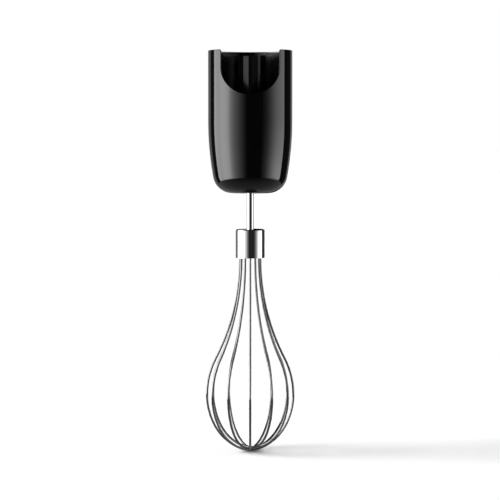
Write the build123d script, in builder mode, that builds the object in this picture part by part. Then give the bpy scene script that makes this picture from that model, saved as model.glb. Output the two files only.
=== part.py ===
from build123d import *
import os
from math import acos, asin, cos, degrees, hypot, pi, radians, sin, tan

os.makedirs("parts", exist_ok=True)

# Whisk attachment for a hand mixer's motor handle, in millimetres.
# The handle plugs into the open socket at the top. A three-lobed coupling takes its drive into
# a one-stage planetary gearbox, which turns a pull-out balloon whisk more slowly.
# The origin is the centre of the socket's mouth, in the plane of the rim, with +Z out of the
# socket. The rim's cut-out faces -Y, and everything else lies below the rim.

# ---------------------------------------------------------------- driving dimensions
# outer shell
housing_diameter = 54.5
shell_wall = 2.2
base_wall = 2.4
barrel_start = 46.0          # depth below the rim where the straight side starts to curve in
barrel_radius = 200.0
base_round = 12.5
edge_round = 0.4             # rounded edges of the rim and the cut-out
cutout_angle = 85.3          # part of the rim's circle that the front cut-out takes
cutout_depth = 28.65
cutout_bowl = 17.1           # height of the cut-out's half-elliptic lower end
cutout_corner = 1.2

# socket liner
liner_gap = 0.15
liner_wall = 1.6
liner_setback = 1.0          # the liner's top edge lies this far below the rim
liner_bevel = 0.8
liner_relief = 0.5           # the liner's cut-out is this much larger than the shell's
socket_depth = 34.0
floor_thickness = 2.6
keyway_width = 20.8
keyway_depth = 13.8
catch_width = 12.0
catch_height = 2.6
catch_rise = 0.8             # from the socket's floor to the catch window
seal_section = 1.3           # diameter of the O-ring's section

# gearbox stack, from the socket's floor down
cover_thickness = 3.0
ring_height = 14.0
flange_thickness = 3.0
hub_length = 36.2
gear_width = 9.0
carrier_thickness = 2.9
thrust_gap = 0.1
gearbox_gap = 0.75           # between the gearbox and the shell

# gears
sun_teeth = 12
planet_teeth = 24
planet_count = 3
pressure_angle = 25.0
addendum_factor = 0.9
dedendum_factor = 1.15
tooth_play = 0.06            # each tooth is this much thinner than its space
ring_rim = 1.51              # wall between the ring gear's teeth and its screw holes

# drive input
input_shaft_diameter = 3.5
input_bush_wall = 2.2
input_boss_wall = 3.0
input_boss_height = 5.2      # above the cover's top face
lobe_reach = 5.8             # from the coupling's axis to the corner of a lobe
side_reach = 4.5             # from the axis to the middle of a side
lobe_round = 0.7
coupling_top = 3.3           # depth of the coupling's top end below the rim
coupling_clearance = 1.5     # between the coupling and the boss below it
coupling_cap = 4.6           # solid end above the shaft's bore
coupling_chamfer = 0.5
lobe_count = 3
groove_width = 2.2           # upright groove in the middle of each of the coupling's sides
groove_depth = 1.2

# output
running_gap = 0.03           # radial clearance of a shaft in its bush
sliding_gap = 0.05           # radial clearance of the whisk's shaft in its socket
washer_thickness = 0.6
spindle_wall = 2.7           # the spindle's radius less the whisk shaft's
bush_wall = 2.47
bush_length = 8.0
hub_wall = 1.5
spindle_recess = 0.3         # the spindle's end inside the base
pin_diameter = 3.5
clip_thickness = 0.4
circlip_thickness = 0.7
circlip_bite = 0.6
ball_diameter = 2.0
detent_height = 14.8         # above the spindle's lower end
dimple_depth = 0.35          # pockets in the whisk shaft's flats for the detent balls
dimple_radius = 0.75

# fasteners
screw_diameter = 2.0
screw_head_diameter = 3.8
screw_head_height = 1.4
screw_clearance = 0.1
case_screw_grip = 5.0
shell_screw_grip = 9.8
boss_radius = 3.8

# whisk
whisk_shaft_diameter = 4.6
flat_depth = 0.5             # cut from each side of the shaft's driven end
flat_length = 11.6
insertion = 24.4             # length of shaft inside the spindle
end_gap = 0.5
neck_length = 23.4           # shaft seen between the housing and the ferrule
ferrule_diameter = 18.9
ferrule_length = 18.6
ferrule_wall = 0.8
ferrule_round = 1.0
holder_recess = 0.7
wire_diameter = 1.5
wire_grip = 13.0             # wire inside the holder
wire_circle = 13.2           # diameter of the ring of wire holes
wire_exit = 0.7              # straight wire below the ferrule
loop_count = 6
balloon_diameter = 56.25     # between the wires' centres at the widest point
flare_radius = 141.5
shoulder_radius = 51.7
belly_angle = 28.0
tip_angle = 68.6
belly_share = 1.543          # belly's radius over the balloon's
depth_share = 1.297          # depth of the balloon below its widest point over its radius
crossing_step = 0.26         # spacing of the welded crossings, over the wire's diameter

# ---------------------------------------------------------------- derived sizes
housing_radius = housing_diameter / 2
cavity_radius = housing_radius - shell_wall
liner_radius = cavity_radius - liner_gap
socket_radius = liner_radius - liner_wall
gearbox_radius = cavity_radius - gearbox_gap
cutout_half_width = housing_radius * sin(radians(cutout_angle / 2))

screw_radius = screw_diameter / 2
screw_hole_radius = screw_radius + screw_clearance
screw_head_radius = screw_head_diameter / 2
screw_circle = socket_radius - screw_head_radius - screw_clearance

ring_teeth = sun_teeth + 2 * planet_teeth
gear_module = (screw_circle - screw_hole_radius - ring_rim) / (ring_teeth / 2 + dedendum_factor)
addendum = addendum_factor * gear_module
dedendum = dedendum_factor * gear_module
sun_radius = gear_module * sun_teeth / 2
planet_radius = gear_module * planet_teeth / 2
ring_radius = gear_module * ring_teeth / 2
planet_orbit = sun_radius + planet_radius

input_radius = input_shaft_diameter / 2
input_bush_radius = input_radius + running_gap + input_bush_wall
input_boss_radius = input_bush_radius + input_boss_wall
pin_radius = pin_diameter / 2
whisk_shaft_radius = whisk_shaft_diameter / 2
spindle_radius = whisk_shaft_radius + spindle_wall
spindle_bore_radius = whisk_shaft_radius + sliding_gap
spindle_neck_radius = spindle_radius - 1.0
bush_radius = spindle_radius + running_gap + bush_wall
hub_radius = bush_radius + hub_wall
ball_radius = ball_diameter / 2
ball_centre = whisk_shaft_radius - flat_depth + sliding_gap + ball_radius
ring_wire_radius = 0.45
ring_wire_centre = ball_centre + ball_radius + sliding_gap + ring_wire_radius
wire_radius = wire_diameter / 2
balloon_radius = balloon_diameter / 2
ferrule_radius = ferrule_diameter / 2
holder_radius = ferrule_radius - ferrule_wall

# heights, all measured from the rim
floor_top = -socket_depth
cover_top = floor_top - floor_thickness
ring_top = cover_top - cover_thickness
case_top = ring_top - ring_height
flange_bottom = case_top - flange_thickness
base_inside = case_top - hub_length
base_outside = base_inside - base_wall
spindle_bottom = base_outside + spindle_recess
carrier_bottom = case_top + washer_thickness + thrust_gap
carrier_top = carrier_bottom + carrier_thickness
gear_bottom = carrier_top + 0.3
gear_top = gear_bottom + gear_width
pin_top = gear_top + clip_thickness + thrust_gap + 0.1
boss_top = cover_top + input_boss_height
coupling_bottom = boss_top + coupling_clearance
shaft_top = spindle_bottom + insertion
flat_bottom = shaft_top - flat_length
detent_level = spindle_bottom + detent_height
ferrule_top = base_outside - neck_length
ferrule_bottom = ferrule_top - ferrule_length
holder_top = ferrule_top - ferrule_wall
holder_bottom = ferrule_bottom + holder_recess
wire_top = holder_bottom + wire_grip

cover_screw_angles = (30, 150, 270)
socket_screw_angles = (90, 210, 330)

# A planet fits only where a whole number of mesh steps lies between it and the first one.
mesh_steps = sun_teeth + ring_teeth
first_planet = 90
planet_angles = [
    first_planet + round(i * mesh_steps / planet_count) * 360 / mesh_steps
    for i in range(planet_count)
]


def polar(radius, angle, height=0.0):
    """A point at a radius and an angle in degrees round the axis."""
    return (radius * cos(radians(angle)), radius * sin(radians(angle)), height)


def save(piece, label):
    """Names a finished piece and writes it as one STEP file."""
    piece.part.label = label
    export_step(piece.part, f"parts/{label}.step")


# ---------------------------------------------------------------- shared outlines
def housing_profile(inset, bottom):
    """Half section of the housing, the given distance inside its skin and down to a bottom."""
    radius = housing_radius - inset
    bend = barrel_radius - inset
    turn = degrees(asin((-barrel_start - bottom) / bend))
    with BuildSketch(Plane.XZ) as profile:
        with BuildLine():
            Line((0, 0), (radius, 0))
            Line((radius, 0), (radius, -barrel_start))
            side = JernArc((radius, -barrel_start), (0, -1), bend, -turn)
            Line(side @ 1, (0, bottom))
            Line((0, bottom), (0, 0))
        make_face()
        base_corner = profile.vertices().group_by(Axis.Y)[0].sort_by(Axis.X)[-1]
        fillet(base_corner, base_round - inset)
    return profile.sketch


def cutout_profile(grow):
    """The rim's cut-out seen from the front: straight sides over half an ellipse."""
    half_width = cutout_half_width + grow
    with Locations((0, cutout_bowl - cutout_depth)):
        Ellipse(half_width, cutout_bowl + grow)
        Rectangle(2 * half_width, 2 * cutout_depth, align=(Align.CENTER, Align.MIN))


def involute(angle):
    """The involute function of a pressure angle in radians."""
    return tan(angle) - angle


def tooth_outline(teeth, inner_radius, outer_radius, thickness, first_angle):
    """Closed outline of involute teeth. The thickness is measured on the pitch circle, and
    the first tooth is centred on first_angle, in degrees."""
    pitch_radius = gear_module * teeth / 2
    base_radius = pitch_radius * cos(radians(pressure_angle))
    flank_start = max(inner_radius, base_radius)
    flank_radii = (flank_start, (flank_start + outer_radius) / 2, outer_radius)

    def half_angle(radius):
        rolled = involute(acos(base_radius / radius))
        return degrees(thickness / (2 * pitch_radius) + involute(radians(pressure_angle)) - rolled)

    half_angles = [half_angle(radius) for radius in flank_radii]
    pitch_angle = 360 / teeth
    for i in range(teeth):
        centre = first_angle + i * pitch_angle
        rising = [polar(r, centre - a) for r, a in zip(flank_radii, half_angles)]
        falling = [polar(r, centre + a) for r, a in zip(flank_radii, half_angles)][::-1]
        root_start = polar(inner_radius, centre + half_angles[0])
        root_middle = polar(inner_radius, centre + pitch_angle / 2)
        root_end = polar(inner_radius, centre + pitch_angle - half_angles[0])
        if inner_radius < flank_start:
            Line(polar(inner_radius, centre - half_angles[0]), rising[0])
        ThreePointArc(*rising)
        ThreePointArc(rising[2], polar(outer_radius, centre), falling[0])
        ThreePointArc(*falling)
        if inner_radius < flank_start:
            Line(falling[2], root_start)
        ThreePointArc(root_start, root_middle, root_end)


def ring_face(outer_radius, inner_radius):
    """A flat ring."""
    Circle(outer_radius)
    Circle(inner_radius, mode=Mode.SUBTRACT)


# ---------------------------------------------------------------- housing: outer shell
with BuildPart() as outer_shell:
    revolve(housing_profile(0, base_outside), axis=Axis.Z)
    revolve(housing_profile(shell_wall, base_inside), axis=Axis.Z, mode=Mode.SUBTRACT)
    with BuildSketch(Plane.XY.offset(flange_bottom)):
        with Locations([polar(screw_circle, angle) for angle in socket_screw_angles]):
            Circle(boss_radius)
    extrude(amount=-(shell_screw_grip + 4))
    revolve(housing_profile(0, base_outside), axis=Axis.Z, mode=Mode.INTERSECT)
    with Locations([polar(screw_circle, angle, flange_bottom) for angle in socket_screw_angles]):
        Hole(screw_radius, shell_screw_grip + 1)
    with Locations((0, 0, base_inside)):
        Hole(bush_radius, base_wall)
    with BuildSketch(Plane.XZ):
        cutout_profile(0)
    extrude(amount=housing_diameter, mode=Mode.SUBTRACT)
    rim_corners = outer_shell.edges().filter_by(Axis.Y).group_by(Axis.Z)[-1]
    fillet(rim_corners, cutout_corner)
    skin_edges = outer_shell.edges().filter_by(
        lambda edge: hypot(edge.center().X, edge.center().Y) > housing_radius - 0.01
        and edge.center().Z > -cutout_depth - 1
        and abs(edge.center().Y) > 0.01
    )
    fillet(skin_edges, edge_round)
save(outer_shell, "outer_shell")

# ---------------------------------------------------------------- housing: socket liner
with BuildPart() as socket_liner:
    with BuildSketch(Plane.XY.offset(cover_top)):
        ring_face(liner_radius, input_boss_radius + liner_gap)
    extrude(amount=floor_thickness)
    with BuildSketch(Plane.XY.offset(floor_top)):
        ring_face(liner_radius, socket_radius)
    extrude(amount=socket_depth - liner_setback)
    mouth = socket_liner.edges().filter_by(GeomType.CIRCLE).group_by(Axis.Z)[-1]
    chamfer(mouth.sort_by(SortBy.RADIUS)[0], liner_bevel)
    with BuildSketch(Plane.XZ):
        cutout_profile(liner_relief)
    extrude(amount=housing_diameter, mode=Mode.SUBTRACT)
    with BuildSketch(Plane.XZ):
        with Locations((0, -keyway_depth)):
            Rectangle(keyway_width, socket_depth, align=(Align.CENTER, Align.MIN))
    extrude(amount=-housing_diameter, mode=Mode.SUBTRACT)
    with BuildSketch(Plane.XZ):
        with Locations((0, floor_top + catch_rise)):
            Rectangle(catch_width, catch_height, align=(Align.CENTER, Align.MIN))
    extrude(amount=housing_diameter, mode=Mode.SUBTRACT)
    with Locations([polar(screw_circle, angle, floor_top) for angle in socket_screw_angles]):
        CounterBoreHole(
            screw_hole_radius,
            screw_head_radius + screw_clearance / 2,
            screw_head_height + screw_clearance,
            floor_thickness,
        )
    with BuildSketch(Plane.XZ):
        with Locations((cavity_radius - seal_section / 2, (cover_top + floor_top) / 2)):
            Rectangle(seal_section, seal_section + liner_gap)
    revolve(axis=Axis.Z, mode=Mode.SUBTRACT)
save(socket_liner, "socket_liner")

with BuildPart() as socket_seal:
    with BuildSketch(Plane.XZ):
        with Locations((cavity_radius - seal_section / 2, (cover_top + floor_top) / 2)):
            Circle(seal_section / 2 - sliding_gap)
    revolve(axis=Axis.Z)
save(socket_seal, "socket_seal")

# ---------------------------------------------------------------- housing: gearbox
with BuildPart() as gearbox_cover:
    with BuildSketch(Plane.XY.offset(ring_top)):
        Circle(gearbox_radius)
    extrude(amount=cover_thickness)
    with BuildSketch(Plane.XY.offset(cover_top)):
        Circle(input_boss_radius)
    extrude(amount=input_boss_height)
    with Locations((0, 0, boss_top)):
        Hole(input_bush_radius, input_boss_height + cover_thickness)
    with Locations([polar(screw_circle, angle, cover_top) for angle in socket_screw_angles]):
        Hole(screw_hole_radius, cover_thickness)
    with Locations([polar(screw_circle, angle, cover_top) for angle in cover_screw_angles]):
        CounterBoreHole(
            screw_hole_radius,
            screw_head_radius + screw_clearance,
            screw_head_height + screw_clearance,
            cover_thickness,
        )
save(gearbox_cover, "gearbox_cover")

with BuildPart() as ring_gear:
    with BuildSketch(Plane.XY.offset(case_top)):
        Circle(gearbox_radius)
        with BuildLine():
            tooth_outline(
                ring_teeth,
                ring_radius - addendum,
                ring_radius + dedendum,
                pi * gear_module / 2 + tooth_play / 2,
                first_planet + (1 - planet_teeth % 2) * 180 / ring_teeth,
            )
        make_face(mode=Mode.SUBTRACT)
        with Locations([polar(screw_circle, a) for a in cover_screw_angles + socket_screw_angles]):
            Circle(screw_hole_radius, mode=Mode.SUBTRACT)
    extrude(amount=ring_height)
save(ring_gear, "ring_gear")

with BuildPart() as gear_case:
    with BuildSketch(Plane.XY.offset(flange_bottom)):
        Circle(gearbox_radius)
    extrude(amount=flange_thickness)
    with BuildSketch(Plane.XY.offset(case_top)):
        Circle(hub_radius)
    extrude(amount=-hub_length)
    rib_reach = ring_radius
    for angle in range(0, 360, 60):
        with BuildSketch(Plane.XZ.rotated((0, 0, angle))):
            with BuildLine():
                Polyline(
                    (bush_radius, flange_bottom),
                    (rib_reach, flange_bottom),
                    (bush_radius, flange_bottom - hub_length / 2),
                    close=True,
                )
            make_face()
        extrude(amount=hub_wall / 2, both=True)
    with BuildSketch(Plane.XY.offset(flange_bottom)):
        with Locations([polar(screw_circle, angle) for angle in cover_screw_angles]):
            Circle(screw_head_radius)
    extrude(amount=-(case_screw_grip + 1))
    with Locations((0, 0, case_top)):
        Hole(bush_radius - bush_wall / 2, hub_length)
        CounterBoreHole(bush_radius - bush_wall / 2, bush_radius, bush_length, hub_length)
    with Locations(Location((0, 0, base_inside), (180, 0, 0))):
        lower_seat = bush_length + washer_thickness + 1.4
        CounterBoreHole(bush_radius - bush_wall / 2, bush_radius, lower_seat, hub_length)
    with Locations([polar(screw_circle, angle, case_top) for angle in socket_screw_angles]):
        Hole(screw_hole_radius, flange_thickness)
    with Locations([polar(screw_circle, angle, case_top) for angle in cover_screw_angles]):
        Hole(screw_radius, flange_thickness + case_screw_grip)
save(gear_case, "gear_case")


def bush(top, bottom, outer_radius, inner_radius):
    """A plain bush with small chamfers on its ends."""
    with BuildPart() as piece:
        with BuildSketch(Plane.XY.offset(bottom)):
            ring_face(outer_radius, inner_radius)
        extrude(amount=top - bottom)
        chamfer(piece.edges().filter_by(GeomType.CIRCLE), 0.2)
    return piece


lower_bush_bottom = base_inside + washer_thickness + 1.4
save(bush(boss_top, ring_top, input_bush_radius, input_radius + running_gap), "input_bush")
save(
    bush(case_top, case_top - bush_length, bush_radius, spindle_radius + running_gap),
    "upper_output_bush",
)
save(
    bush(
        lower_bush_bottom + bush_length,
        lower_bush_bottom,
        bush_radius,
        spindle_radius + running_gap,
    ),
    "lower_output_bush",
)

with BuildPart() as thrust_washer:
    with BuildSketch(Plane.XY.offset(case_top)):
        ring_face(bush_radius, spindle_radius + thrust_gap)
    extrude(amount=washer_thickness)
save(thrust_washer, "thrust_washer")

with BuildPart() as shaft_seal:
    with BuildSketch(Plane.XY.offset(spindle_bottom)):
        ring_face(bush_radius, spindle_radius + thrust_gap)
    extrude(amount=base_wall - spindle_recess)
    lip = shaft_seal.edges().filter_by(GeomType.CIRCLE).group_by(Axis.Z)[0]
    chamfer(lip.sort_by(SortBy.RADIUS)[0], 0.7)
save(shaft_seal, "shaft_seal")


def screws(angles, head_bottom, tip):
    """A set of pan-head screws on the screw circle, with a cross recess in each head."""
    with BuildPart() as piece:
        for angle in angles:
            seat = Plane(origin=polar(screw_circle, angle, head_bottom))
            with BuildSketch(seat):
                Circle(screw_head_radius)
            extrude(amount=screw_head_height)
            with BuildSketch(seat):
                Circle(screw_radius)
            extrude(amount=tip - head_bottom)
            with BuildSketch(seat.offset(screw_head_height)):
                Rectangle(screw_head_radius * 1.2, 0.5)
                Rectangle(0.5, screw_head_radius * 1.2)
            extrude(amount=-screw_head_height / 2, mode=Mode.SUBTRACT)
        tops = piece.edges().filter_by(GeomType.CIRCLE).group_by(Axis.Z)[-1]
        fillet(tops, 0.4)
    return piece


save(
    screws(cover_screw_angles, cover_top - screw_head_height - screw_clearance,
           flange_bottom - case_screw_grip + screw_clearance),
    "cover_screws",
)
save(
    screws(socket_screw_angles, floor_top - screw_head_height - screw_clearance,
           flange_bottom - shell_screw_grip),
    "socket_screws",
)

# ---------------------------------------------------------------- drive input
with BuildPart() as drive_coupling:
    with BuildSketch(Plane.XY.offset(coupling_bottom)) as coupling_section:
        half_side = 180 / lobe_count
        with BuildLine():
            corners = []
            for lobe in range(lobe_count):
                corners.append(polar(side_reach, 2 * lobe * half_side - 90))
                corners.append(polar(lobe_reach, (2 * lobe + 1) * half_side - 90))
            Polyline(*corners, close=True)
        make_face()
        lobes = coupling_section.vertices().filter_by(
            lambda corner: hypot(corner.X, corner.Y) > (lobe_reach + side_reach) / 2
        )
        fillet(lobes, lobe_round)
        with PolarLocations(side_reach, lobe_count, start_angle=-90):
            Rectangle(2 * groove_depth, groove_width, mode=Mode.SUBTRACT)
    extrude(amount=-coupling_top - coupling_bottom)
    chamfer(drive_coupling.edges().group_by(Axis.Z)[-1], coupling_chamfer)
    with Locations(Location((0, 0, coupling_bottom), (180, 0, 0))):
        Hole(input_radius, -coupling_top - coupling_cap - coupling_bottom)
save(drive_coupling, "drive_coupling")

pilot_depth = carrier_thickness - 0.4
with BuildPart() as input_shaft:
    with BuildSketch(Plane.XY.offset(carrier_top - pilot_depth + 0.2)):
        Circle(input_radius)
    extrude(amount=-coupling_top - coupling_cap - carrier_top + pilot_depth - 0.2)
    with BuildSketch(Plane.XY.offset(boss_top + 0.3)):
        ring_face(input_radius, input_radius - 0.35)
    extrude(amount=circlip_thickness, mode=Mode.SUBTRACT)
    chamfer(input_shaft.edges().group_by(Axis.Z)[0], 0.3)
save(input_shaft, "input_shaft")


def circlip(level, bore_radius, outer_radius, thickness):
    """An open spring ring that lies in a shaft's groove."""
    with BuildPart() as piece:
        with BuildSketch(Plane.XY.offset(level)):
            ring_face(outer_radius, bore_radius)
            with Locations((0, outer_radius)):
                Rectangle(bore_radius, 2 * outer_radius - bore_radius, mode=Mode.SUBTRACT)
        extrude(amount=thickness)
    return piece


save(
    circlip(boss_top + 0.35, input_radius - 0.35, input_radius + 1.2, circlip_thickness - 0.1),
    "input_circlip",
)

with BuildPart() as sun_gear:
    with BuildSketch(Plane.XY.offset(gear_bottom)):
        with BuildLine():
            tooth_outline(
                sun_teeth,
                sun_radius - dedendum,
                sun_radius + addendum,
                pi * gear_module / 2 - tooth_play / 2,
                first_planet,
            )
        make_face()
        Circle(input_radius, mode=Mode.SUBTRACT)
    extrude(amount=gear_width)
save(sun_gear, "sun_gear")

with BuildPart() as input_washer:
    with BuildSketch(Plane.XY.offset(gear_top)):
        ring_face(sun_radius - dedendum, input_radius + running_gap)
    extrude(amount=ring_top - gear_top - thrust_gap)
save(input_washer, "input_washer")

# ---------------------------------------------------------------- planet carrier and spindle
with BuildPart() as planet_carrier:
    with BuildSketch(Plane.XY.offset(carrier_bottom)):
        Circle(planet_orbit + 2 * pin_radius)
        Circle(spindle_neck_radius, mode=Mode.SUBTRACT)
        with Locations([polar(planet_orbit, angle) for angle in planet_angles]):
            Circle(pin_radius, mode=Mode.SUBTRACT)
    extrude(amount=carrier_thickness)
save(planet_carrier, "planet_carrier")

for number, angle in enumerate(planet_angles, start=1):
    centre = Plane(origin=polar(planet_orbit, angle))
    rolled = (angle - first_planet) * (1 - ring_teeth / planet_teeth)

    with BuildPart() as planet_pin:
        with BuildSketch(centre.offset(carrier_bottom)):
            Circle(pin_radius)
        extrude(amount=pin_top - carrier_bottom)
        with BuildSketch(centre.offset(gear_top + thrust_gap)):
            ring_face(pin_radius, pin_radius - 0.3)
        extrude(amount=clip_thickness, mode=Mode.SUBTRACT)
    save(planet_pin, f"planet_pin_{number}")

    with BuildPart() as planet_gear:
        with BuildSketch(centre.offset(gear_bottom)):
            with BuildLine():
                tooth_outline(
                    planet_teeth,
                    planet_radius - dedendum,
                    planet_radius + addendum,
                    pi * gear_module / 2 - tooth_play / 2,
                    first_planet + 180 + 180 / planet_teeth + rolled,
                )
            make_face()
            Circle(pin_radius + sliding_gap, mode=Mode.SUBTRACT)
        extrude(amount=gear_width)
    save(planet_gear, f"planet_gear_{number}")

with BuildPart() as planet_clips:
    for angle in planet_angles:
        with BuildSketch(Plane(origin=polar(planet_orbit, angle, gear_top + thrust_gap + 0.03))):
            ring_face(pin_radius + 1.0, pin_radius - 0.3)
            with Locations((0, pin_radius)):
                Rectangle(pin_radius, 2 * pin_radius, mode=Mode.SUBTRACT)
        extrude(amount=clip_thickness - 0.06)
save(planet_clips, "planet_clips")

circlip_level = lower_bush_bottom - washer_thickness - circlip_thickness - thrust_gap
with BuildPart() as output_spindle:
    with BuildSketch(Plane.XY.offset(spindle_bottom)):
        Circle(spindle_radius)
    extrude(amount=carrier_bottom - spindle_bottom)
    with BuildSketch(Plane.XY.offset(carrier_bottom)):
        Circle(spindle_neck_radius)
    extrude(amount=carrier_thickness)
    with Locations((0, 0, carrier_top)):
        Hole(input_radius + sliding_gap, pilot_depth)
    with BuildSketch(Plane.XY.offset(spindle_bottom)):
        Circle(spindle_bore_radius)
    extrude(amount=detent_height + ball_radius + 1.5, mode=Mode.SUBTRACT)
    with BuildSketch(Plane.XY.offset(spindle_bottom)):
        Circle(spindle_bore_radius)
        flats = 2 * (whisk_shaft_radius - flat_depth + sliding_gap)
        Rectangle(flats, 4 * spindle_radius, mode=Mode.INTERSECT)
    extrude(amount=insertion + end_gap, mode=Mode.SUBTRACT)
    with BuildSketch(Plane.YZ.offset(-spindle_radius)):
        with Locations((0, detent_level)):
            Circle(ball_radius + sliding_gap)
    extrude(amount=2 * spindle_radius, mode=Mode.SUBTRACT)
    with BuildSketch(Plane.XY.offset(detent_level - ring_wire_radius - sliding_gap)):
        ring_face(spindle_radius, ring_wire_centre - ring_wire_radius - sliding_gap)
    extrude(amount=2 * (ring_wire_radius + sliding_gap), mode=Mode.SUBTRACT)
    with BuildSketch(Plane.XY.offset(circlip_level)):
        ring_face(spindle_radius, spindle_radius - circlip_bite)
    extrude(amount=circlip_thickness, mode=Mode.SUBTRACT)
save(output_spindle, "output_spindle")

with BuildPart() as spindle_washer:
    with BuildSketch(Plane.XY.offset(circlip_level + circlip_thickness)):
        ring_face(bush_radius - 0.4, spindle_radius + sliding_gap)
    extrude(amount=washer_thickness)
save(spindle_washer, "spindle_washer")

save(
    circlip(circlip_level + 0.03, spindle_radius - circlip_bite + 0.02, spindle_radius + 1.6,
            circlip_thickness - 0.06),
    "spindle_circlip",
)

with BuildPart() as detent_balls:
    with Locations((ball_centre, 0, detent_level), (-ball_centre, 0, detent_level)):
        Sphere(ball_radius)
save(detent_balls, "detent_balls")

with BuildPart() as detent_ring:
    with BuildSketch(Plane.XZ):
        with Locations((ring_wire_centre, detent_level)):
            Circle(ring_wire_radius)
    revolve(axis=Axis.Z, revolution_arc=-330)
save(detent_ring, "detent_ring")

# ---------------------------------------------------------------- whisk
with BuildPart() as whisk_shaft:
    with BuildSketch(Plane.XY.offset(holder_bottom + 2)):
        Circle(whisk_shaft_radius)
    extrude(amount=shaft_top - holder_bottom - 2)
    with BuildSketch(Plane.XY.offset(flat_bottom)):
        Circle(whisk_shaft_radius)
        Rectangle(2 * (whisk_shaft_radius - flat_depth), 4 * whisk_shaft_radius,
                  mode=Mode.SUBTRACT)
    extrude(amount=flat_length, mode=Mode.SUBTRACT)
    tip_edges = whisk_shaft.edges().group_by(Axis.Z)[-1]
    chamfer(tip_edges, 0.3)
    # the balls stand just clear of these pockets, as they do while the whisk is pulled out
    pocket_floor = whisk_shaft_radius - flat_depth - dimple_depth
    for side in (1, -1):
        with BuildSketch(Plane.YZ.offset(side * pocket_floor)):
            with Locations((0, detent_level)):
                Circle(dimple_radius)
        extrude(amount=side * ball_radius, mode=Mode.SUBTRACT)
save(whisk_shaft, "whisk_shaft")

with BuildPart() as ferrule:
    with BuildSketch(Plane.XY.offset(ferrule_bottom)):
        Circle(ferrule_radius)
    extrude(amount=ferrule_length)
    fillet(ferrule.edges().group_by(Axis.Z)[-1], ferrule_round)
    with BuildSketch(Plane.XY.offset(ferrule_bottom)):
        Circle(holder_radius)
    extrude(amount=ferrule_length - ferrule_wall, mode=Mode.SUBTRACT)
    with Locations((0, 0, ferrule_top)):
        Hole(whisk_shaft_radius + sliding_gap, ferrule_wall)
save(ferrule, "ferrule")

wire_angles = [i * 180 / loop_count for i in range(2 * loop_count)]
with BuildPart() as wire_holder:
    with BuildSketch(Plane.XY.offset(holder_bottom)):
        Circle(holder_radius)
    extrude(amount=holder_top - holder_bottom)
    with Locations((0, 0, holder_top)):
        Hole(whisk_shaft_radius, holder_top - holder_bottom - 2)
    with BuildSketch(Plane.XY.offset(holder_bottom)):
        with Locations([polar(wire_circle / 2, angle) for angle in wire_angles]):
            Circle(wire_radius + 0.02)
    extrude(amount=wire_grip + 0.1, mode=Mode.SUBTRACT)
save(wire_holder, "wire_holder")

# One wire arm runs straight out of the holder, flares out, rounds the shoulder to the widest
# point, and closes in three arcs that reach the axis level. The last two radii are solved so
# that each loop crosses the axis at its own height.
exit_radius = wire_circle / 2
flare_angle = degrees(acos(1 - (balloon_radius - exit_radius) / (flare_radius + shoulder_radius)))
belly_radius = belly_share * balloon_radius
balloon_depth = depth_share * balloon_radius


def closing_radii(depth):
    """Radii of the last two arcs, which close the loop at a depth below its widest point."""
    width_left = balloon_radius - belly_radius * (1 - cos(radians(belly_angle)))
    depth_left = depth - belly_radius * sin(radians(belly_angle))
    width_lower = cos(radians(belly_angle)) - cos(radians(tip_angle))
    depth_lower = sin(radians(tip_angle)) - sin(radians(belly_angle))
    width_tip = cos(radians(tip_angle))
    depth_tip = 1 - sin(radians(tip_angle))
    determinant = width_lower * depth_tip - width_tip * depth_lower
    lower = (width_left * depth_tip - width_tip * depth_left) / determinant
    tip = (width_lower * depth_left - width_left * depth_lower) / determinant
    return lower, tip


for number in range(1, loop_count + 1):
    # the loop that lies across the front view is the lowest at the crossing
    level = (number + loop_count // 2 - 1) % loop_count
    lower_radius, tip_radius = closing_radii(balloon_depth - level * crossing_step * wire_diameter)
    loop_plane = Plane.XZ.rotated((0, 0, (number - 1) * 180 / loop_count - 90))
    with BuildPart() as wire_loop:
        with BuildLine(loop_plane) as arm:
            run = Line((exit_radius, wire_top), (exit_radius, ferrule_bottom - wire_exit))
            flare = JernArc(run @ 1, (0, -1), flare_radius, flare_angle)
            shoulder = JernArc(flare @ 1, flare % 1, shoulder_radius, -flare_angle)
            belly = JernArc(shoulder @ 1, shoulder % 1, belly_radius, -belly_angle)
            lower = JernArc(belly @ 1, belly % 1, lower_radius, belly_angle - tip_angle)
            tip = JernArc(lower @ 1, lower % 1, tip_radius, tip_angle - 90)
            mirror(arm.line, Plane(origin=(0, 0, 0), z_dir=loop_plane.x_dir))
        with BuildSketch(Plane(origin=arm.wires()[0] @ 0, z_dir=arm.wires()[0] % 0)):
            Circle(wire_radius)
        sweep(path=arm.wires()[0])
    save(wire_loop, f"wire_loop_{number}")
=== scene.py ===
from math import radians

import bmesh
import bpy
from mathutils import Matrix, Vector


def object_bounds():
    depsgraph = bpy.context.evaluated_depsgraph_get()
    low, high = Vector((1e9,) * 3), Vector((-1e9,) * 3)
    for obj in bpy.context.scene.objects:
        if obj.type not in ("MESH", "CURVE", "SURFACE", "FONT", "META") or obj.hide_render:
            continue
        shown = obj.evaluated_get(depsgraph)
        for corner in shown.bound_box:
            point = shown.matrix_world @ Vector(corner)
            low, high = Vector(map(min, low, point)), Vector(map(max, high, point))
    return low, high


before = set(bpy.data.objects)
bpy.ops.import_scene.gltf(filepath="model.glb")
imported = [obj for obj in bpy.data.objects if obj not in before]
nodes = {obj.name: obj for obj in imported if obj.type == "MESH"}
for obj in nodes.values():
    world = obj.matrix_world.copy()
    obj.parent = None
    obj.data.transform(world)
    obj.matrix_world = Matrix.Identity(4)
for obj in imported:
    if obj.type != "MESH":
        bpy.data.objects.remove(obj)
cad_low, cad_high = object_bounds()
mm = 0.001


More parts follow.
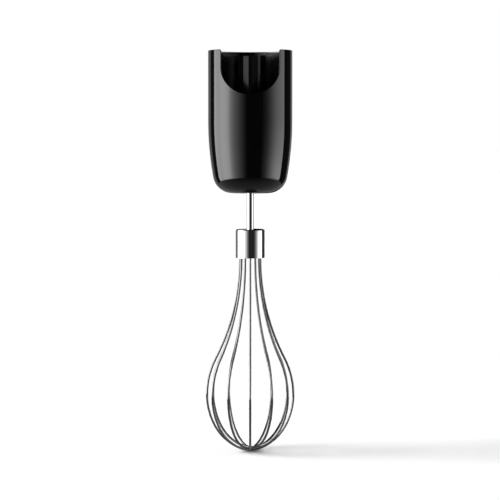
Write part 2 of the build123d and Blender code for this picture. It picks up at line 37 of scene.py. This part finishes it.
# ---------------------------------------------------------------- node helpers
class Recipe:
    """A material under construction: its nodes, its links and the object's own coordinates."""

    def __init__(self, name):
        self.material = bpy.data.materials.new(name)
        self.material.use_nodes = True
        self.tree = self.material.node_tree
        self.place = self.add("ShaderNodeTexCoord").outputs["Object"]

    def add(self, kind, **settings):
        """A node, with its properties set."""
        node = self.tree.nodes.new(kind)
        for key, value in settings.items():
            setattr(node, key, value)
        return node

    def link(self, output, target):
        """Joins an output to an input."""
        self.tree.links.new(output, target)


class Finish(Recipe):
    """A surface, made on the shader that every new material has."""

    def __init__(self, name):
        super().__init__(name)
        self.shader = self.tree.nodes["Principled BSDF"]

    def set(self, socket, value):
        """A constant on the shader's own socket."""
        self.shader.inputs[socket].default_value = value

    def stretched(self, scale):
        """Object coordinates multiplied along each axis."""
        mapping = self.add("ShaderNodeMapping")
        mapping.inputs["Scale"].default_value = scale
        self.link(self.place, mapping.inputs["Vector"])
        return mapping.outputs["Vector"]

    def noise(self, size, detail=3.0, stretch=(1, 1, 1)):
        """Noise whose grains are about this size in metres."""
        texture = self.add("ShaderNodeTexNoise")
        texture.inputs["Scale"].default_value = 1 / size
        texture.inputs["Detail"].default_value = detail
        self.link(self.stretched(stretch), texture.inputs["Vector"])
        return texture.outputs["Fac"]

    def ranged(self, value, low, high, start=0.3, end=0.7):
        """A 0 to 1 pattern mapped to a range of values."""
        node = self.add("ShaderNodeMapRange")
        node.inputs["From Min"].default_value = start
        node.inputs["From Max"].default_value = end
        node.inputs["To Min"].default_value = low
        node.inputs["To Max"].default_value = high
        self.link(value, node.inputs["Value"])
        return node.outputs["Result"]

    def tint(self, value, dark, light, start=0.3, end=0.7):
        """A 0 to 1 pattern mapped to a blend of two colours, as the base colour."""
        ramp = self.add("ShaderNodeValToRGB")
        ramp.color_ramp.elements[0].position = start
        ramp.color_ramp.elements[1].position = end
        ramp.color_ramp.elements[0].color = (*dark, 1)
        ramp.color_ramp.elements[1].color = (*light, 1)
        self.link(value, ramp.inputs["Fac"])
        self.link(ramp.outputs["Color"], self.shader.inputs["Base Color"])

    def roughness(self, value, low, high):
        """A pattern that varies the roughness."""
        self.link(self.ranged(value, low, high), self.shader.inputs["Roughness"])

    def bump(self, *heights):
        """Stacked bumps, each a pattern and its height in metres."""
        normal = None
        for value, height in heights:
            node = self.add("ShaderNodeBump")
            node.inputs["Strength"].default_value = 1.0
            node.inputs["Distance"].default_value = height
            self.link(value, node.inputs["Height"])
            if normal is not None:
                self.link(normal, node.inputs["Normal"])
            normal = node.outputs["Normal"]
        self.link(normal, self.shader.inputs["Normal"])


# ---------------------------------------------------------------- finishes
def glossy_black_plastic():
    """High-gloss moulded plastic: nearly black, with the faint waviness of a moulding."""
    finish = Finish("glossy_black_plastic")
    finish.set("IOR", 1.5)
    cloud = finish.noise(22 * mm)
    finish.tint(cloud, (0.0003, 0.0003, 0.0003), (0.0006, 0.0006, 0.0006))
    haze = finish.noise(1.6 * mm, detail=6.0)
    finish.roughness(haze, 0.045, 0.075)
    finish.bump((finish.noise(9 * mm, detail=1.0), 0.004 * mm))
    return finish.material


def satin_black_plastic():
    """Inside mouldings with a very fine spark-eroded grain."""
    finish = Finish("satin_black_plastic")
    finish.set("IOR", 1.5)
    finish.tint(finish.noise(6 * mm), (0.0008, 0.0008, 0.0008), (0.0014, 0.0014, 0.0014))
    grain = finish.noise(0.22 * mm, detail=2.0)
    finish.roughness(grain, 0.12, 0.18)
    finish.bump((grain, 0.001 * mm))
    return finish.material


def coupling_plastic():
    """The coupling's tough plastic: smoother, with fine draw marks down its length."""
    finish = Finish("coupling_plastic")
    finish.set("IOR", 1.52)
    finish.tint(finish.noise(4 * mm), (0.002, 0.002, 0.002), (0.0035, 0.0035, 0.0035))
    draw = finish.noise(0.5 * mm, detail=3.0, stretch=(1, 1, 0.04))
    finish.roughness(draw, 0.12, 0.2)
    finish.bump((draw, 0.002 * mm))
    return finish.material


def black_rubber():
    """Seals and the O-ring."""
    finish = Finish("black_rubber")
    finish.set("IOR", 1.5)
    grain = finish.noise(0.3 * mm)
    finish.tint(grain, (0.01, 0.01, 0.01), (0.018, 0.018, 0.018))
    finish.roughness(grain, 0.5, 0.65)
    finish.bump((grain, 0.006 * mm))
    return finish.material


def filled_plastic():
    """Glass-filled dark grey plastic of the gearbox, with short pale fibres at its skin."""
    finish = Finish("filled_plastic")
    finish.set("IOR", 1.52)
    fibres = finish.noise(0.35 * mm, detail=2.0, stretch=(1, 0.25, 1))
    finish.tint(fibres, (0.03, 0.03, 0.032), (0.075, 0.075, 0.078), start=0.45, end=0.75)
    finish.roughness(fibres, 0.42, 0.58)
    finish.bump((fibres, 0.005 * mm))
    return finish.material


def acetal():
    """Off-white acetal of the ring gear."""
    finish = Finish("acetal")
    finish.set("IOR", 1.48)
    cloud = finish.noise(8 * mm)
    finish.tint(cloud, (0.66, 0.63, 0.56), (0.74, 0.72, 0.66))
    finish.roughness(finish.noise(0.8 * mm), 0.28, 0.38)
    finish.bump((cloud, 0.01 * mm))
    return finish.material


def nylon():
    """Natural nylon of the planet gears and the thrust washers."""
    finish = Finish("nylon")
    finish.set("IOR", 1.53)
    cloud = finish.noise(5 * mm)
    finish.tint(cloud, (0.68, 0.64, 0.54), (0.78, 0.75, 0.67))
    finish.roughness(finish.noise(0.5 * mm), 0.32, 0.45)
    finish.bump((finish.noise(0.4 * mm), 0.004 * mm))
    return finish.material


def sintered_bronze():
    """Oil-filled sintered bronze with open pores."""
    finish = Finish("sintered_bronze")
    finish.set("Metallic", 1.0)
    pores = finish.noise(0.18 * mm, detail=2.0)
    finish.tint(pores, (0.16, 0.09, 0.045), (0.46, 0.3, 0.16), start=0.35, end=0.55)
    finish.roughness(pores, 0.34, 0.5)
    finish.bump((pores, 0.01 * mm))
    return finish.material


def steel(name, dark, light, rough, marks, height):
    """Steel with tool marks; the marks are noise stretched along the tool's path."""
    finish = Finish(name)
    finish.set("Metallic", 1.0)
    pattern = finish.noise(*marks)
    finish.tint(pattern, (dark,) * 3, (light,) * 3)
    finish.roughness(pattern, *rough)
    finish.bump((pattern, height))
    return finish.material


def turned_steel():
    """Turned and ground gearbox steel, with rings round the axis."""
    return steel("turned_steel", 0.42, 0.52, (0.22, 0.32), (0.2 * mm, 3.0, (0.02, 0.02, 1)), 0.002 * mm)


def blackened_spring_steel():
    """Circlips and the detent's spring."""
    return steel("blackened_spring_steel", 0.06, 0.1, (0.3, 0.42), (0.4 * mm, 3.0, (1, 1, 1)), 0.003 * mm)


def zinc_plating():
    """Bright zinc on the screws, slightly clouded."""
    return steel("zinc_plating", 0.5, 0.6, (0.24, 0.36), (0.5 * mm, 4.0, (1, 1, 1)), 0.003 * mm)


def polished_steel():
    """Polished stainless steel with barely visible turning rings."""
    return steel("polished_steel", 0.5, 0.56, (0.06, 0.1), (0.25 * mm, 3.0, (0.02, 0.02, 1)), 0.0006 * mm)


def drawn_wire():
    """Bright drawn stainless wire, with die lines that run down its length."""
    return steel("drawn_wire", 0.17, 0.23, (0.035, 0.06), (0.25 * mm, 3.0, (1, 1, 0.03)), 0.0003 * mm)


def moulded_grey():
    """The holder that grips the wires' ends."""
    finish = Finish("moulded_grey")
    finish.set("IOR", 1.5)
    grain = finish.noise(0.3 * mm)
    finish.tint(grain, (0.035, 0.035, 0.036), (0.06, 0.06, 0.062))
    finish.roughness(grain, 0.4, 0.52)
    finish.bump((grain, 0.005 * mm))
    return finish.material


def dress(finish, *names):
    """Gives CAD nodes a finish in all their slots."""
    for name in names:
        mesh = nodes[name].data
        mesh.materials.clear()
        mesh.materials.append(finish)


dress(glossy_black_plastic(), "outer_shell")
dress(satin_black_plastic(), "socket_liner")
dress(coupling_plastic(), "drive_coupling")
dress(black_rubber(), "socket_seal", "shaft_seal")
dress(filled_plastic(), "gearbox_cover", "gear_case")
dress(acetal(), "ring_gear")
dress(nylon(), "planet_gear_1", "planet_gear_2", "planet_gear_3",
      "thrust_washer", "input_washer", "spindle_washer")
dress(sintered_bronze(), "input_bush", "upper_output_bush", "lower_output_bush")
dress(turned_steel(), "input_shaft", "sun_gear", "planet_carrier", "output_spindle",
      "planet_pin_1", "planet_pin_2", "planet_pin_3", "detent_balls")
dress(blackened_spring_steel(), "input_circlip", "spindle_circlip", "planet_clips", "detent_ring")
dress(zinc_plating(), "cover_screws", "socket_screws")
dress(polished_steel(), "whisk_shaft", "ferrule")
dress(moulded_grey(), "wire_holder")
dress(drawn_wire(), *[name for name in nodes if name.startswith("wire_loop_")])


# ---------------------------------------------------------------- studio
def disc(name, radius, level):
    """A level round sheet of the studio."""
    mesh = bpy.data.meshes.new(name)
    shape = bmesh.new()
    bmesh.ops.create_circle(shape, cap_ends=True, segments=96, radius=radius)
    bmesh.ops.translate(shape, verts=shape.verts, vec=(0, 0, level))
    shape.to_mesh(mesh)
    shape.free()
    sheet = bpy.data.objects.new(name, mesh)
    bpy.context.collection.objects.link(sheet)
    return sheet


def only_reflected(studio_object):
    """Hides a light shape from everything but mirror reflections."""
    studio_object.visible_camera = False
    studio_object.visible_diffuse = False
    studio_object.visible_shadow = False


def floor():
    """A wide white floor under the whisk. Reflections see a small pool of light in its place."""
    sheet = disc("studio_floor", floor_radius, cad_low.z)
    finish = Finish("studio_floor_paint")
    finish.tint(finish.noise(0.4), (0.8, 0.8, 0.8), (0.81, 0.81, 0.81))
    finish.set("Roughness", 1.0)
    finish.set("Specular IOR Level", 0.0)
    sheet.data.materials.append(finish.material)
    sheet.visible_glossy = False
    pool = disc("floor_pool", pool_radius, cad_low.z)
    pool.data.materials.append(pool_glow())
    only_reflected(pool)


def pool_glow():
    """Light that the floor throws up, brighter towards the rear."""
    glow = Glow("floor_pool_glow")
    parts = glow.add("ShaderNodeSeparateXYZ")
    glow.link(glow.place, parts.inputs["Vector"])
    glow.shine(glow.curve(parts.outputs["Y"], floor_fade))
    return glow.material


class Glow(Recipe):
    """An emission whose strength follows curves over the object's coordinates."""

    def __init__(self, name):
        super().__init__(name)
        self.tree.nodes.remove(self.tree.nodes["Principled BSDF"])

    def times(self, value, factor):
        """A value times a number, or times another output."""
        node = self.add("ShaderNodeMath", operation="MULTIPLY")
        self.link(value, node.inputs[0])
        if isinstance(factor, (int, float)):
            node.inputs[1].default_value = factor
        else:
            self.link(factor, node.inputs[1])
        return node.outputs[0]

    def curve(self, value, steps):
        """A curve through (value, strength) pairs."""
        first, last = steps[0][0], steps[-1][0]
        spread = self.add("ShaderNodeMapRange")
        spread.inputs["From Min"].default_value = first
        spread.inputs["From Max"].default_value = last
        self.link(value, spread.inputs["Value"])
        node = self.add("ShaderNodeFloatCurve")
        peak = max(strength for place, strength in steps)
        points = node.mapping.curves[0].points
        for index, (place, strength) in enumerate(steps):
            spot = ((place - first) / (last - first), strength / peak)
            if index in (0, len(steps) - 1):
                points[0 if index == 0 else -1].location = spot
            else:
                points.new(*spot)
        node.mapping.update()
        self.link(spread.outputs["Result"], node.inputs["Value"])
        return self.times(node.outputs[0], peak)

    def shine(self, strength):
        """Ends the material in an emission of this strength."""
        emission = self.add("ShaderNodeEmission")
        self.link(strength, emission.inputs["Strength"])
        self.link(emission.outputs[0], self.tree.nodes["Material Output"].inputs["Surface"])


def turn(angle):
    """Rotation about the upright axis."""
    return Matrix.Rotation(angle, 3, "Z")


def softbox(name, strengths, fade):
    """A curved diffuser round the object. The strengths are (angle, strength) pairs, with the
    angle in degrees from the camera's side, positive to the right. The fade is (height, share)
    pairs."""
    mesh = bpy.data.meshes.new(name)
    shape = bmesh.new()
    first, last = strengths[0][0], strengths[-1][0]
    rod = [shape.verts.new((0, 0, level)) for level in (fade[0][0], fade[-1][0])]
    edge = shape.edges.new(rod)
    bmesh.ops.translate(shape, verts=rod, vec=(softbox_radius, 0, 0))
    bmesh.ops.rotate(shape, verts=rod, cent=(0, 0, 0), matrix=turn(radians(first - 90)))
    bmesh.ops.spin(shape, geom=[*rod, edge], cent=(0, 0, 0), axis=(0, 0, 1),
                   angle=radians(last - first), steps=64, use_duplicate=False)
    shape.to_mesh(mesh)
    shape.free()
    box_object = bpy.data.objects.new(name, mesh)
    bpy.context.collection.objects.link(box_object)
    mesh.materials.append(softbox_glow(name + "_glow", strengths, fade))
    only_reflected(box_object)


def softbox_glow(name, strengths, fade):
    """Emission that follows the angle round the upright axis and fades towards the floor."""
    glow = Glow(name)
    parts = glow.add("ShaderNodeSeparateXYZ")
    glow.link(glow.place, parts.inputs["Vector"])
    across = glow.add("ShaderNodeMath", operation="ARCTAN2")
    glow.link(parts.outputs["X"], across.inputs[0])
    glow.link(glow.times(parts.outputs["Y"], -1), across.inputs[1])
    angles = [(radians(angle), strength) for angle, strength in strengths]
    around = glow.curve(across.outputs[0], angles)
    upright = glow.curve(parts.outputs["Z"], fade)
    glow.shine(glow.times(around, upright))
    return glow.material


def distant_lamp(name, side, elevation, softness, power):
    """A far lamp that lights the floor and the object and casts shadows, out of the reflections."""
    data = bpy.data.lights.new(name, "SUN")
    data.angle = radians(softness)
    data.energy = power
    lamp_object = bpy.data.objects.new(name, data)
    bpy.context.collection.objects.link(lamp_object)
    lamp_object.rotation_euler = (radians(90 - elevation), 0, radians(side))
    lamp_object.visible_glossy = False


def surroundings():
    """White for the camera, pale for the floor's light, nearly dark for reflections."""
    world = bpy.data.worlds.new("studio_room")
    bpy.context.scene.world = world
    world.use_nodes = True
    tree = world.node_tree
    tree.nodes.clear()
    output = tree.nodes.new("ShaderNodeOutputWorld")
    rays = tree.nodes.new("ShaderNodeLightPath")
    level = 0.03
    for ray, brightness in (("Is Diffuse Ray", 0.21), ("Is Camera Ray", 1.0)):
        mix = tree.nodes.new("ShaderNodeMix")
        tree.links.new(rays.outputs[ray], mix.inputs["Factor"])
        mix.inputs["B"].default_value = brightness
        if isinstance(level, float):
            mix.inputs["A"].default_value = level
        else:
            tree.links.new(level, mix.inputs["A"])
        level = mix.outputs["Result"]
    light = tree.nodes.new("ShaderNodeBackground")
    tree.links.new(level, light.inputs["Strength"])
    tree.links.new(light.outputs[0], output.inputs["Surface"])
    light.inputs["Color"].default_value = (1, 1, 1, 1)


def camera():
    """A long lens a little below the rim, tilted down to the middle of the whisk's length."""
    data = bpy.data.cameras.new("studio_camera")
    data.lens = 149.75
    data.sensor_width = 36.0
    camera_object = bpy.data.objects.new("studio_camera", data)
    bpy.context.collection.objects.link(camera_object)
    camera_object.location = (-0.13 * mm, -1.35, -0.0581)
    aim = Vector((-0.13 * mm, 0, -0.1292))
    camera_object.rotation_euler = (aim - camera_object.location).to_track_quat("-Z", "Y").to_euler()
    bpy.context.scene.camera = camera_object


floor_radius = 40.0
pool_radius = 0.4
softbox_radius = 0.9

# (distance behind the whisk, strength) of the floor's glow
floor_fade = [(-0.4, 0.06), (-0.25, 0.14), (-0.12, 0.24), (-0.03, 0.3), (0.06, 0.36), (0.4, 0.36)]

# (height, share of the strength) of the softboxes
left_fade = [(-1.6, 0.04), (-1.1, 0.12), (-0.8, 0.3), (-0.6, 0.5), (-0.48, 0.75), (-0.42, 1.0), (0.4, 1.0)]
right_fade = [(-1.6, 0.05), (-0.8, 0.15), (-0.52, 0.5), (-0.43, 1.3), (-0.35, 1.8), (-0.22, 1.5),
              (-0.09, 1.2), (0.02, 1.0), (0.4, 1.0)]

surroundings()
floor()
softbox("left_softbox", [(-115, 3.8), (-98, 4.4), (-76, 6.0), (-66, 5.6), (-56, 3.4), (-44, 1.75),
                         (-32, 0.9), (-21, 0.36), (-10, 0.05)], left_fade)
softbox("right_softbox", [(30, 0.02), (46, 0.26), (58, 0.75), (71, 1.5), (85, 2.0), (96, 2.0),
                          (106, 1.8)], right_fade)
softbox("back_softbox", [(145, 0.32), (160, 0.4), (168, 0.04), (192, 0.04), (200, 0.45), (218, 0.95),
                         (224, 0.95)], left_fade)
distant_lamp("left_lamp", -90, 33, 34, 5.5)
distant_lamp("right_lamp", 90, 40, 30, 0.6)
camera()
bpy.context.scene.view_settings.view_transform = "Standard"
